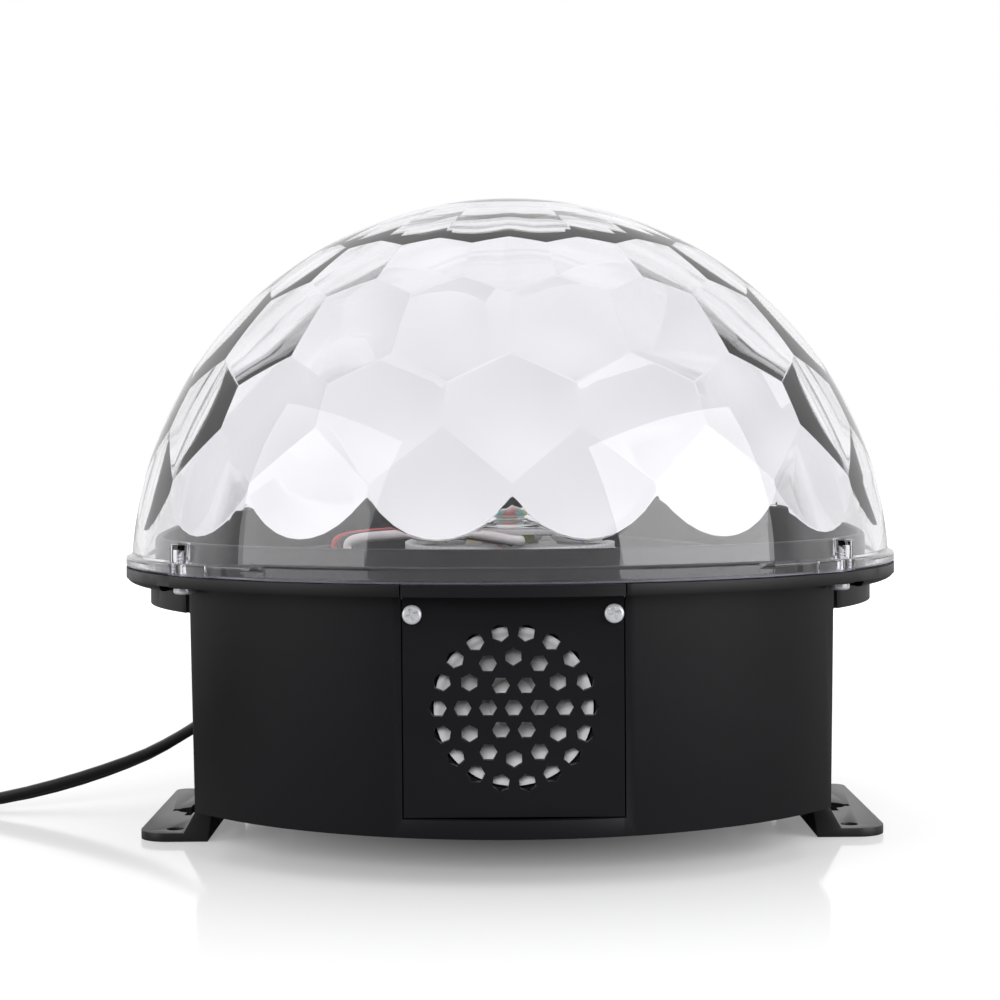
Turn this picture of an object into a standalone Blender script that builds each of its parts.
# Crystal ball effect light with a small loudspeaker, as an assembly of separate pieces.
# Metres, +Z up, the front with the loudspeaker faces -Y. The origin is on the floor under the
# middle of the lamp. The free cord and its plug lie to the left, at -X.

import math

import bmesh
import bpy
from mathutils import Matrix, Vector

MM = 0.001
GAP = 0.3 * MM  # left between neighbouring pieces
OVERRUN = 2.0 * MM  # how far a cutter runs past what it cuts
SEAM = 0.05 * MM  # what is joined on stays this far from its neighbour's own face
MERGE = 0.01 * MM
HALF_PI = math.pi / 2
ROUND_STEPS = 48  # sides of the large turned pieces
PLATE_STEPS = 28  # sides of the plates inside
MIDDLE_STEPS = 24
SMALL_STEPS = 8  # sides of screws and holes

# Base: round rim and drum over a body with flat sides
BODY_BOTTOM = 11.3 * MM
BODY_RADIUS = 94.8 * MM
SIDE_INSET = 16.9 * MM  # how far the flat sides lie in from the round, under the rim
SIDE_LEAN = 1.0 * MM  # and how much further at the bottom
SIDE_TOP_X = BODY_RADIUS - SIDE_INSET
SIDE_BOTTOM_X = SIDE_TOP_X - SIDE_LEAN
WALL = 2.2 * MM
DRUM_BOTTOM = 59.2 * MM
DRUM_GROOVE = 1.0 * MM
RIM_BOTTOM = 66.0 * MM
RIM_TOP = 68.6 * MM
RIM_PROUD = 6.2 * MM  # beyond the round of the body
RIM_RADIUS = BODY_RADIUS + RIM_PROUD
BAND_PROUD = 1.0 * MM  # the front and rear of the rim stand out further than its sides
BAND_RADIUS = RIM_RADIUS + BAND_PROUD
BAND_OVER_SIDE = 3.8 * MM
BAND_END_X = SIDE_TOP_X + BAND_OVER_SIDE
BOWL_AFTER_BAND = 3.5 * MM
BOWL_START_X = BAND_END_X + BOWL_AFTER_BAND  # outside this the rim has a rounded underside
BOWL_BOTTOM = 63.9 * MM
BOWL_STEPS = 2
COLLAR_INSET = 1.3 * MM
COLLAR_WALL = 2.0 * MM
COLLAR_RADIUS = BODY_RADIUS - COLLAR_INSET
COLLAR_INNER = COLLAR_RADIUS - COLLAR_WALL
COLLAR_TOP = 76.0 * MM
POST_INSET = 10.9 * MM
POST_X = SIDE_BOTTOM_X - POST_INSET
POST_Y = 25.0 * MM
POST_RADIUS = 4.0 * MM
POST_RIB = 3.0 * MM
POST_BOTTOM = 13.6 * MM

# Front and rear inserts
INSERT_HALF = 25.0 * MM
INSERT_BOTTOM = 15.7 * MM
INSERT_SET_BACK = 3.4 * MM  # from the round of the body to the insert's flat face
INSERT_FACE_Y = BODY_RADIUS - INSERT_SET_BACK
INSERT_THICK = 2.2 * MM
INSERT_SHELF = 1.0 * MM  # the tongue that passes under the collar to the rim piece
INSERT_SCREW_IN = 2.35 * MM  # from the insert's edge
INSERT_SCREW_X = INSERT_HALF - INSERT_SCREW_IN
INSERT_SCREW_Z = 61.6 * MM
INSERT_HEAD_RADIUS = 2.2 * MM
BLOCK_PAST_SCREW = 3.65 * MM
BLOCK_PAST_EDGE = 5.0 * MM
BLOCK_INNER_X = INSERT_SCREW_X - BLOCK_PAST_SCREW
BLOCK_OUTER_X = INSERT_HALF + BLOCK_PAST_EDGE
BLOCK_DEPTH = 5.6 * MM
BLOCK_HALF_HIGH = 3.4 * MM

# Grille of hexagons, in rings around the middle one
GRILLE_Z = 40.4 * MM
GRILLE_COUNTS = (6, 12, 18)
GRILLE_RADII = (5.77 * MM, 11.5 * MM, 17.1 * MM)
GRILLE_HEX = 4.16 * MM  # across the points

# Clear dome
DOME_SINK = 3.9 * MM  # the sphere's centre lies below the rim's top
DOME_CENTRE_Z = RIM_TOP - DOME_SINK
DOME_INSET = 1.3 * MM
DOME_WALL = 2.4 * MM
DOME_RADIUS = RIM_RADIUS - DOME_INSET
DOME_INNER = DOME_RADIUS - DOME_WALL
DOME_ARC_STEPS = 10
FLANGE_HIGH = 2.9 * MM
FLANGE_TOP = RIM_TOP + FLANGE_HIGH
LIP_HIGH = 1.1 * MM
LIP_TOP = FLANGE_TOP + LIP_HIGH
LIP_PROUD = 0.5 * MM
LIP_RADIUS = RIM_RADIUS + LIP_PROUD
LIP_DEPTH = 2.8 * MM
LIP_END_X = 60.0 * MM
SKIRT_TOP_SHARE = 0.25  # above the centre; below this the inside leaves the sphere
SKIRT_TOP = DOME_CENTRE_Z + DOME_INNER * SKIRT_TOP_SHARE
SKIRT_SPREAD = 2.4 * MM  # how much wider the inside is at the rim than at the skirt's top
SKIRT_BOW_SHARE = 0.38
SKIRT_STEPS = 3
FACETS_AROUND = 18
FACET_ROWS = [  # elevation of the row in degrees, and its turn in half facets
    (15.4, 1),
    (26.3, 0),
    (40.6, 1),
    (53.0, 0),
    (66.5, 1),
]
FACET_DEPTH_SHARES = (0.0148, 0.0187, 0.0222, 0.0177, 0.0195)  # of the inner radius, row by row
CAP_DEPTH_SHARE = 0.0257
BOSS_FROM_RIM = 3.2 * MM
BOSS_TURN = math.radians(36.5)  # from the side, towards the front and the rear
BOSS_X = (RIM_RADIUS - BOSS_FROM_RIM) * math.cos(BOSS_TURN)
BOSS_Y = (RIM_RADIUS - BOSS_FROM_RIM) * math.sin(BOSS_TURN)
BOSS_RADIUS = 3.3 * MM
EAR_INWARD = 7.4 * MM  # the ear's extent about its boss
EAR_OUTWARD = 3.4 * MM
EAR_TOWARDS_MIDDLE = 8.2 * MM
EAR_PROUD = 0.1 * MM
EAR_RADIUS = BAND_RADIUS + EAR_PROUD
EAR_HIGH = 3.3 * MM
EAR_TOP = RIM_TOP + EAR_HIGH
BOSS_HIGH = 4.3 * MM
BOSS_TOP = EAR_TOP + BOSS_HIGH
BOSS_ROOF = 1.6 * MM
DOME_SCREW_RADIUS = 1.4 * MM
DOME_SCREW_HEAD = 2.45 * MM
DOME_SCREW_HEAD_HIGH = 1.7 * MM
DOME_SCREW_TIP = BOSS_TOP - BOSS_ROOF

# Screws in general
SCREW_RADIUS = 1.4 * MM
SCREW_HEAD = 2.7 * MM
SCREW_HEAD_HIGH = 1.5 * MM
SCREW_LONG = 9.0 * MM
HEAD_CROWN = 0.5 * MM
CROSS_LONG_SHARE = 1.2  # a cross slot's length, as a share of the head's radius
CROSS_WIDE_SHARE = 0.26
CROSS_DEEP_SHARE = 0.5  # its depth, as a share of the head's height

# Deck under the head, with the stop post
DECK_BOTTOM = 61.7 * MM
DECK_THICK = 2.0 * MM
DECK_FROM_INSERT = 9.4 * MM
DECK_FLAT_Y = INSERT_FACE_Y - DECK_FROM_INSERT
DECK_HOLE = 9.5 * MM
STOP_POST = 2.0 * MM
STOP_TOP = 69.4 * MM

# Motor
CAN_RADIUS = 24.5 * MM
CAN_BOTTOM = 44.0 * MM
LUG_THICK = 1.2 * MM
LUG_X = 29.0 * MM
LUG_WIDE = 12.0 * MM
LUG_HOLE = 5.0 * MM
SHAFT_RADIUS = 2.5 * MM
SHAFT_BOTTOM = 52.0 * MM
SHAFT_TOP = 67.8 * MM

# Turning head
TABLE_BOTTOM = 66.2 * MM
TABLE_THICK = 2.0 * MM
TABLE_RADIUS = 62.0 * MM
STOP_FROM_TABLE = 4.0 * MM
STOP_RADIUS = TABLE_RADIUS + STOP_FROM_TABLE
TABLE_RIM_HIGH = 2.0 * MM
TABLE_RIM_WIDE = 1.8 * MM
HUB_RADIUS = 8.0 * MM
HUB_BOTTOM = 64.3 * MM
STOP_TAB_HALF = 3.0 * MM
STOP_TAB_REACH = STOP_RADIUS + STOP_POST
SINK_RADIUS = 28.5 * MM
SINK_THICK = 2.5 * MM
SINK_TOOTH = 1.5 * MM
SINK_TEETH = 12
LED_BOARD_RADIUS = 28.0 * MM
LED_BOARD_THICK = 1.2 * MM
EMITTER_SIDE = 4.6 * MM
EMITTER_HIGH = 0.9 * MM
EMITTER_DOME = 1.6 * MM
EMITTER_DOME_TOP = 0.8 * MM
EMITTER_DOME_HIGH = 1.2 * MM
LENS_RING = 19.0 * MM
LENS_COUNT = 6
LENS_RADIUS = 6.5 * MM
CENTRE_LENS_RADIUS = 7.5 * MM
LENS_SHOULDER = 0.9 * MM  # how far a lens rests over its hole
LENS_EDGE = 0.7 * MM
LENS_HIGH = 2.2 * MM
LENS_FOOT_SHARE = 0.9
LENS_SIDES = 10
LENS_CROWN_STEPS = 2
HOLDER_RADIUS = 27.0 * MM
HOLDER_BOTTOM = 75.2 * MM
HOLDER_THICK = 1.0 * MM
HOLDER_LEG = 2.6 * MM
CLIP_RING = 24.6 * MM  # the holder's legs stand on this circle
CLIP_COUNT = 3
CLIP_PIN = 1.2 * MM
LENS_WEB_RADIUS = 26.5 * MM  # clear plate that joins the six outer lenses
CONNECTOR_SHARES = (-0.6774, -0.5645)  # its place on the turntable
CONNECTOR_SIZE = (9.0 * MM, 5.0 * MM, 3.6 * MM)
CONNECTOR_TURN = math.radians(-50)
WIRE_RADIUS = 1.0 * MM
WIRE_PITCH = 2.6 * MM
WIRE_ARCH = 3.2 * MM
ARCH_SHARE = 0.32

# Loudspeaker, measured back from its front face
SPEAKER_RADIUS = 21.0 * MM
SPEAKER_FLANGE = 2.0 * MM
CONE_RADIUS = 18.3 * MM
CONE_DEPTH = 7.5 * MM
CONE_THROAT = 5.2 * MM
CONE_THICK = 0.6 * MM
CONE_SET_BACK = 0.9 * MM
BASKET_WALL = 0.9 * MM
BASKET_DEPTH = 12.0 * MM
BASKET_BACK_RADIUS = 11.0 * MM
DUST_CAP_RADIUS = 5.6 * MM
DUST_CAP_RISE = 2.2 * MM
DUST_CAP_THICK = 0.5 * MM
MAGNET_RADIUS = 14.0 * MM
MAGNET_THICK = 8.0 * MM
CLAMP_RING = 23.9 * MM  # posts that hold the loudspeaker's flange in place
CLAMP_POST = 2.0 * MM

# Control insert at the rear
BOARD_THICK = 1.6 * MM
CONTROL_BOARD_BEHIND = 10.4 * MM
CONTROL_BOARD_Y = INSERT_FACE_Y - CONTROL_BOARD_BEHIND
CONTROL_BOARD_HALF = 23.0 * MM
CONTROL_BOARD_LOW = 16.5 * MM
CONTROL_BOARD_HIGH = 42.0 * MM
BOARD_POST_X = 20.5 * MM
BOARD_POST_LOW = 18.9 * MM
BOARD_POST_HIGH = 39.6 * MM
BOARD_POST_RADIUS = 2.0 * MM
BOARD_PIN = 1.2 * MM  # pins through a board, flattened over it
BOARD_PIN_PROUD = 0.8 * MM
BUTTON_Z = 24.0 * MM
BUTTON_PITCH = 10.0 * MM
BUTTON_RADIUS = 2.7 * MM
BUTTON_FLANGE = 3.5 * MM
BUTTON_FLANGE_THICK = 1.1 * MM
BUTTON_PROUD = 1.5 * MM
BUTTON_TRAVEL = 0.5 * MM
SWITCH_SIDE = 6.0 * MM
SWITCH_HIGH = 3.3 * MM
PLUNGER_RADIUS = 1.7 * MM
USB_AT = (-9.0 * MM, 34.0 * MM)
USB_SIZE = (13.2 * MM, 5.8 * MM)
USB_DEEP = 13.6 * MM
USB_WALL = 0.4 * MM
USB_TONGUE = 1.8 * MM
USB_TONGUE_SIDE = 0.8 * MM
USB_SET_BACK = 0.4 * MM
CARD_AT = (10.5 * MM, 34.0 * MM)
CARD_SIZE = (14.0 * MM, 2.8 * MM)
CARD_SLOT = (11.4 * MM, 1.1 * MM)
CARD_DEEP = 12.0 * MM
SENSOR_AT = (-16.5 * MM, 51.0 * MM)
SENSOR_RADIUS = 2.6 * MM
SENSOR_FLANGE = 3.4 * MM
SENSOR_DEEP = 5.0 * MM
ROCKER_Z = 51.0 * MM
ROCKER_BEZEL = (17.0 * MM, 12.0 * MM)
ROCKER_BODY = (15.0 * MM, 10.2 * MM)
ROCKER_BEZEL_THICK = 1.2 * MM
ROCKER_WELL = (13.4 * MM, 8.4 * MM)
ROCKER_BODY_DEEP = 13.0 * MM
ROCKER_WELL_DEEP = 8.2 * MM
ROCKER_SWING = 6.2 * MM  # radius of the rocker's underside about its pin
ROCKER_PIVOT_PROUD = 0.4 * MM
ROCKER_PIVOT_Y = INSERT_FACE_Y + ROCKER_PIVOT_PROUD
ROCKER_RISE = 1.3 * MM
ROCKER_ANGLE = math.radians(10)

# Supply board on the bottom cover
COVER_THICK = 2.0 * MM
SUPPLY_FROM_POST = 6.0 * MM
SUPPLY_FRONT_Y = -4.0 * MM
SUPPLY_SIZE = (76.0 * MM, 50.0 * MM)
SUPPLY_LOW = (SUPPLY_FROM_POST - POST_X, SUPPLY_FRONT_Y)
SUPPLY_HIGH = (SUPPLY_LOW[0] + SUPPLY_SIZE[0], SUPPLY_LOW[1] + SUPPLY_SIZE[1])
SUPPLY_Z = 18.3 * MM
SUPPLY_POST_IN = 4.0 * MM
SUPPLY_POST_RADIUS = 3.0 * MM
CORE_PLACE_SHARE = (0.342, 0.56)  # of the board's size, from its front left corner
CORE_SIZE = (34.0 * MM, 16.0 * MM, 22.0 * MM)
CORE_LEG = 8.0 * MM
CORE_WINDOW = 6.2 * MM
CORE_YOKE = 4.2 * MM
WINDING_OVERHANG = 5.0 * MM
CAPACITOR_PLACE_SHARES = [(0.737, 0.76), (0.895, 0.52), (0.737, 0.24)]
CAPACITOR_SIZES = [(5.0 * MM, 16.0 * MM), (4.0 * MM, 12.0 * MM), (3.2 * MM, 9.0 * MM)]  # radius, height

# Foot brackets
FOOT_TIP_OUT = 17.8 * MM  # these are measured out from the side of the body
FOOT_WEB_OUT = 6.0 * MM
FOOT_WEB_TOP_OUT = 1.2 * MM
FOOT_HOLE_OUT = 9.0 * MM
KEYHOLE_OUT = 8.1 * MM
FOOT_TIP_X = SIDE_BOTTOM_X + FOOT_TIP_OUT
FOOT_WEB_X = SIDE_BOTTOM_X + FOOT_WEB_OUT
FOOT_WEB_TOP_X = SIDE_BOTTOM_X + FOOT_WEB_TOP_OUT
FOOT_HEEL_X = SIDE_BOTTOM_X
FOOT_FLANGE_PAST_POST = 6.0 * MM
FOOT_FLANGE_X = POST_X - FOOT_FLANGE_PAST_POST
FOOT_THICK = 2.2 * MM
FOOT_FRONT_Y = -34.2 * MM
FOOT_REAR_Y = 35.4 * MM
FOOT_FRONT_CORNER = 7.5 * MM
FOOT_REAR_CORNER = 3.0 * MM
FOOT_CORNER_STEPS = 5
FOOT_HOLE_X = SIDE_BOTTOM_X + FOOT_HOLE_OUT
FOOT_HOLE_Y = 28.0 * MM
FOOT_HOLE_RADIUS = 2.2 * MM
KEYHOLE_X = SIDE_BOTTOM_X + KEYHOLE_OUT
KEYHOLE_RADIUS = 4.4 * MM
KEYHOLE_SLOT = 3.0 * MM
KEYHOLE_REACH_X = 5.6 * MM
KEYHOLE_REACH_Y = 8.4 * MM

# Cord, its gland and its plug
CORD_WIDE = 5.2 * MM
CORD_THICK = 3.2 * MM
GLAND_Y = 15.0 * MM
GLAND_Z = 25.3 * MM
GLAND_NECK = 4.2 * MM
GLAND_FLANGE = 5.8 * MM
GLAND_FLANGE_THICK = 1.4 * MM
GLAND_NOSE = 3.2 * MM
GLAND_NOSE_TIP = 3.4 * MM
GLAND_SLEEVE = 13.6 * MM
GLAND_LIP = 5.2 * MM
GLAND_LIP_LONG = 2.4 * MM
GLAND_SLEEVE_TIP = 3.0 * MM
CORD_CLEAR = 0.1 * MM  # under the cord where it lies
COIL_AT = (-195.0 * MM, -27.0 * MM)
COIL_OUTER = 40.5 * MM
COIL_PITCH = 5.7 * MM
COIL_RISE = 3.75 * MM
COIL_TURNS_IN = 2.5
COIL_TURNS_OUT = 2.75
COIL_LEAD_IN = 5.2 * MM
COIL_CLIMB_TURNS = 0.46  # it climbs a layer while it turns back outwards
COIL_DIP = 7.5 * MM  # the innermost loop is tighter by this much, which leaves room for the climb
COIL_DIP_TURNS = 0.26
COIL_POINTS = 20
PLUG_X = -243.0 * MM
PLUG_START_Y = -54.3 * MM
PLUG_RELIEF = 12.0 * MM
PLUG_RELIEF_SIZE = (7.0 * MM, 5.4 * MM)
PLUG_BODY_SIZE = (19.0 * MM, 13.5 * MM)
PLUG_NECK_SIZE = (12.5 * MM, 10.0 * MM)
PLUG_BODY_LONG = 22.0 * MM
PLUG_CORNER = 2.6 * MM
BLADE_SPACING = 12.7 * MM
BLADE_SIZE = (1.5 * MM, 17.0 * MM, 6.3 * MM)
CORD_ROUTE = [  # by hand, from the gland to the coil: place in mm, and turn of the flat side
    (-83.0, 15.0, 24.5, 90),
    (-85.5, 14.7, 23.3, 92),
    (-91.0, 13.7, 20.0, 99),
    (-99.4, 12.2, 15.6, 108),
    (-111.0, 10.6, 11.3, 117),
    (-124.5, 9.9, 7.3, 118),
    (-139.0, 9.8, 4.1, 108),
    (-154.5, 10.9, 2.1, 94),
    (-171.0, 12.8, 1.7, 90),
    (-184.0, 13.5, 1.7, 90),
    (-189.5, 13.5, 1.7, 90),
]
TAIL_ROUTE = [  # by hand, from the coil's last turn to the plug
    (-237.0, -33.5, 5.7),
    (-238.6, -39.5, 6.3),
    (-241.6, -44.6, 6.7),
    (-243.0, -48.8, 6.75),
    (-243.0, -54.0, 6.75),
]
INNER_LEAD_ROUTE = [
    (-60.2, 15.0, 25.3),
    (-57.6, 14.4, 25.1),
    (-55.8, 12.0, 24.3),
    (-55.2, 8.6, 23.3),
    (-55.0, 5.2, 22.6),
    (-55.0, 2.4, 22.2),
]
INNER_LEAD_RADIUS = 1.6 * MM

COLORS = {  # colour, roughness, metallic, transmission
    "black_abs": ((0.012, 0.012, 0.014), 0.42, 0.0, 0.0),
    "clear_ps": ((0.95, 0.95, 0.98), 0.03, 0.0, 1.0),
    "chromed_steel": ((0.75, 0.76, 0.78), 0.22, 1.0, 0.0),
    "zinc_steel": ((0.55, 0.56, 0.57), 0.38, 1.0, 0.0),
    "grey_paper": ((0.52, 0.51, 0.53), 0.8, 0.0, 0.0),
    "ferrite": ((0.05, 0.05, 0.055), 0.6, 0.0, 0.0),
    "aluminium": ((0.7, 0.71, 0.73), 0.35, 1.0, 0.0),
    "white_board": ((0.82, 0.83, 0.82), 0.5, 0.0, 0.0),
    "green_board": ((0.02, 0.16, 0.06), 0.45, 0.0, 0.0),
    "emitter": ((0.85, 0.75, 0.25), 0.35, 0.0, 0.0),
    "red_pvc": ((0.62, 0.03, 0.04), 0.45, 0.0, 0.0),
    "white_pvc": ((0.82, 0.8, 0.79), 0.45, 0.0, 0.0),
    "black_pvc": ((0.015, 0.015, 0.016), 0.45, 0.0, 0.0),
    "copper": ((0.6, 0.25, 0.1), 0.4, 1.0, 0.0),
    "smoke_window": ((0.1, 0.012, 0.014), 0.12, 0.0, 0.0),
    "grey_button": ((0.4, 0.4, 0.42), 0.5, 0.0, 0.0),
    "brass": ((0.66, 0.5, 0.24), 0.3, 1.0, 0.0),
    "foot_nylon": ((0.03, 0.029, 0.031), 0.25, 0.0, 0.0),
}


def fresh_collection(name):
    made = bpy.data.collections.new(name)
    bpy.context.scene.collection.children.link(made)
    return made


for old in list(bpy.data.objects):
    bpy.data.objects.remove(old)
LAMP = fresh_collection("crystal_ball_light")
CUTTERS = fresh_collection("cutters")


def material(name):
    made = bpy.data.materials.get(name)
    if made is None:
        color, roughness, metallic, clear = COLORS[name]
        made = bpy.data.materials.new(name)
        made.use_nodes = True
        made.diffuse_color = (*color, 1)
        shader = made.node_tree.nodes["Principled BSDF"]
        shader.inputs["Base Color"].default_value = (*color, 1)
        shader.inputs["Roughness"].default_value = roughness
        shader.inputs["Metallic"].default_value = metallic
        shader.inputs["Transmission Weight"].default_value = clear
    return made


def put(name, mesh, finish=None):
    # With a finish it is a piece of the lamp, and without one it is a cutter or a guide
    made = bpy.data.objects.new(name, mesh)
    if finish is None:
        CUTTERS.objects.link(made)
        made.hide_render = True
        made.display_type = "WIRE"
    else:
        LAMP.objects.link(made)
        made.data.materials.append(material(finish))
    return made


def from_bmesh(name, bm, finish=None):
    bmesh.ops.recalc_face_normals(bm, faces=bm.faces)
    mesh = bpy.data.meshes.new(name)
    bm.to_mesh(mesh)
    bm.free()
    return put(name, mesh, finish)


def add_box(bm, low, high):
    low, high = Vector(low), Vector(high)
    place = Matrix.Translation((low + high) / 2) @ Matrix.Diagonal((*(high - low), 1))
    bmesh.ops.create_cube(bm, size=1, matrix=place)


def add_rod(bm, radius, start, end, sides=SMALL_STEPS, tip_radius=None, turn=0):
    start, end = Vector(start), Vector(end)
    along = end - start
    place = (
        Matrix.Translation((start + end) / 2)
        @ along.to_track_quat("Z", "Y").to_matrix().to_4x4()
        @ Matrix.Rotation(turn, 4, "Z")
    )
    bmesh.ops.create_cone(
        bm,
        cap_ends=True,
        segments=sides,
        radius1=radius,
        radius2=radius if tip_radius is None else tip_radius,
        depth=along.length,
        matrix=place,
    )


def boxes(name, corners, finish=None):
    bm = bmesh.new()
    for low, high in corners:
        add_box(bm, low, high)
    return from_bmesh(name, bm, finish)


def rods(name, radius, ends, finish=None, sides=SMALL_STEPS):
    bm = bmesh.new()
    for start, end in ends:
        add_rod(bm, radius, start, end, sides)
    return from_bmesh(name, bm, finish)


def loft(name, rings, finish=None):
    # Joins unlike sections of as many points each, and closes both ends
    bm = bmesh.new()
    made = [[bm.verts.new(point) for point in ring] for ring in rings]
    for lower, upper in zip(made, made[1:]):
        for i in range(len(lower)):
            j = (i + 1) % len(lower)
            bm.faces.new((lower[i], lower[j], upper[j], upper[i]))
    bm.faces.new(made[0])
    bm.faces.new(made[-1])
    return from_bmesh(name, bm, finish)


def rectangle(low_x, low_y, high_x, high_y, z):
    return [(low_x, low_y, z), (high_x, low_y, z), (high_x, high_y, z), (low_x, high_y, z)]


def extruded(name, outline, low, high, finish=None):
    # A flat outline in X and Y, from height low to height high, as a filled 2D curve
    curve = bpy.data.curves.new(name, "CURVE")
    curve.dimensions = "2D"
    curve.fill_mode = "BOTH"
    curve.extrude = (high - low) / 2
    spline = curve.splines.new("POLY")
    spline.points.add(len(outline) - 1)
    for point, (x, y) in zip(spline.points, outline):
        point.co = (x, y, 0, 1)
    spline.use_cyclic_u = True
    guide = put(name + "_curve", curve)
    mesh = bpy.data.meshes.new_from_object(guide)
    bm = bmesh.new()
    bm.from_mesh(mesh)
    bmesh.ops.remove_doubles(bm, verts=bm.verts, dist=MERGE)
    bmesh.ops.translate(bm, verts=bm.verts, vec=(0, 0, (low + high) / 2))
    bpy.data.objects.remove(guide)
    bpy.data.meshes.remove(mesh)
    return from_bmesh(name, bm, finish)


def turned(name, profile, steps, finish=None, ring=False):
    # profile: (radius, height) down the outer side from the top. ring closes it into a hoop.
    mesh = bpy.data.meshes.new(name)
    edges = [(i, i + 1) for i in range(len(profile) - 1)]
    if ring:
        edges.append((len(profile) - 1, 0))
    mesh.from_pydata([(radius, 0, height) for radius, height in profile], edges, [])
    made = put(name, mesh, finish)
    turn = made.modifiers.new("turn", "SCREW")
    turn.steps = steps
    turn.render_steps = steps
    turn.use_merge_vertices = True
    turn.merge_threshold = MERGE
    return made


def boolean(target, tool, operation):
    change = target.modifiers.new(tool.name, "BOOLEAN")
    change.operation = operation
    change.solver = "EXACT"
    change.object = tool
    return target


def cut(target, *tools):
    for tool in tools:
        boolean(target, tool, "DIFFERENCE")
    return target


def join(target, *tools):
    for tool in tools:
        boolean(target, tool, "UNION")
    return target


def close_seams(target):
    # The last modifier on a piece with many cuts: it shuts the hair-wide slits that they leave
    change = target.modifiers.new("seams", "WELD")
    change.merge_threshold = MERGE
    return target


def keep_inside(target, tool):
    return boolean(target, tool, "INTERSECT")


def smooth(made, degrees=32):
    if made.type == "MESH":
        made.data.shade_smooth()
        made.data.set_sharp_from_angle(angle=math.radians(degrees))
    return made


def around(count, radius, first=0.0):
    # Points spaced evenly on a circle; angle 0 is at +X
    angles = [math.radians(first) + math.tau * k / count for k in range(count)]
    return [(radius * math.cos(a), radius * math.sin(a)) for a in angles]


def corners_of(x, y):
    return [(i * x, j * y) for i in (-1, 1) for j in (-1, 1)]


def screw(name, seat, tip, head_radius, head_high, shank_radius, finish="zinc_steel"):
    # One closed solid of shank and head, with a cross cut in its head
    seat, tip = Vector(seat), Vector(tip)
    out = (seat - tip).normalized()
    turn = out.to_track_quat("Z", "Y")
    bm = bmesh.new()
    profile = [
        (head_radius - HEAD_CROWN, head_high),
        (head_radius, head_high - HEAD_CROWN),
        (head_radius, 0),
        (shank_radius, 0),
        (shank_radius, -(seat - tip).length),
    ]
    rings = []
    for radius, height in profile:
        ring = around(SMALL_STEPS, radius)
        rings.append([bm.verts.new(seat + turn @ Vector((x, y, height))) for x, y in ring])
    for upper, lower in zip(rings, rings[1:]):
        for i in range(SMALL_STEPS):
            j = (i + 1) % SMALL_STEPS
            bm.faces.new((upper[i], upper[j], lower[j], lower[i]))
    bm.faces.new(rings[0])
    bm.faces.new(rings[-1])
    made = from_bmesh(name, bm, finish)
    arms = (CROSS_LONG_SHARE, CROSS_WIDE_SHARE)
    for long, wide in (arms, reversed(arms)):
        slot = bmesh.new()
        size = (head_radius * long, head_radius * wide, head_high * CROSS_DEEP_SHARE * 2)
        place = (
            Matrix.Translation(seat + out * head_high)
            @ turn.to_matrix().to_4x4()
            @ Matrix.Diagonal((*size, 1))
        )
        bmesh.ops.create_cube(slot, size=1, matrix=place)
        cut(made, from_bmesh(name + "_slot", slot))
    return made


def side_names(name, count):
    # In the order of corners_of: -X before +X, and front before rear
    if count == 2:
        return [name + "_left", name + "_right"]
    return [name + end for end in ("_front_left", "_rear_left", "_front_right", "_rear_right")]


def tube(name, points, width, thickness, turns, finish, resolution=2):
    # A flat cord is a bevel with an extrude; with thickness equal to width it is round
    curve = bpy.data.curves.new(name, "CURVE")
    curve.dimensions = "3D"
    curve.twist_mode = "Z_UP"
    curve.bevel_depth = thickness / 2
    curve.extrude = (width - thickness) / 2
    curve.bevel_resolution = resolution
    curve.use_fill_caps = True
    spline = curve.splines.new("POLY")
    spline.points.add(len(points) - 1)
    for point, place, turn in zip(spline.points, points, turns):
        point.co = (*place, 1)
        point.tilt = turn
    return put(name, curve, finish)


def smooth_route(points, per_span):
    # Catmull-Rom curve through hand-chosen points
    ends = [2 * points[0] - points[1], *points, 2 * points[-1] - points[-2]]
    made = []
    for i in range(len(points) - 1):
        a, b, c, d = ends[i : i + 4]
        for k in range(per_span):
            t = k / per_span
            squared, cubed = 2 * a - 5 * b + 4 * c - d, 3 * b - a - 3 * c + d
            made.append((2 * b + (c - a) * t + squared * t**2 + cubed * t**3) / 2)
    made.append(points[-1])
    return made


def in_metres(route):
    return [Vector(place) * MM for place in route]


# Base housing

def side_x(z):
    # The flat sides lean in slightly towards the bottom
    share = (z - BODY_BOTTOM) / (RIM_BOTTOM - BODY_BOTTOM)
    return SIDE_BOTTOM_X + (SIDE_TOP_X - SIDE_BOTTOM_X) * share


def ring_tool(name, profile, low_x, high_x=None):
    # A turned hoop kept only where |x| is over low_x, or under high_x
    reach = BAND_RADIUS + OVERRUN
    hoop = turned(name, profile, ROUND_STEPS, ring=True)
    tall = COLLAR_TOP + OVERRUN
    if high_x is None:
        keeper = boxes(name + "_core", [((-low_x, -reach, -OVERRUN), (low_x, reach, tall))])
        return cut(hoop, keeper)
    keeper = boxes(name + "_core", [((-high_x, -reach, -OVERRUN), (high_x, reach, tall))])
    return keep_inside(hoop, keeper)


def bowl_profile():
    # Rounded underside of the rim at the sides
    inner = BODY_RADIUS - GAP
    outer = RIM_RADIUS - GAP
    top = RIM_BOTTOM + GAP
    points = [(inner, top), (outer, top)]
    for k in range(BOWL_STEPS + 1):
        angle = HALF_PI * k / BOWL_STEPS
        points.append(
            (
                inner + (outer - inner) * math.cos(angle),
                RIM_BOTTOM - (RIM_BOTTOM - BOWL_BOTTOM) * math.sin(angle),
            )
        )
    return points


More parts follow.
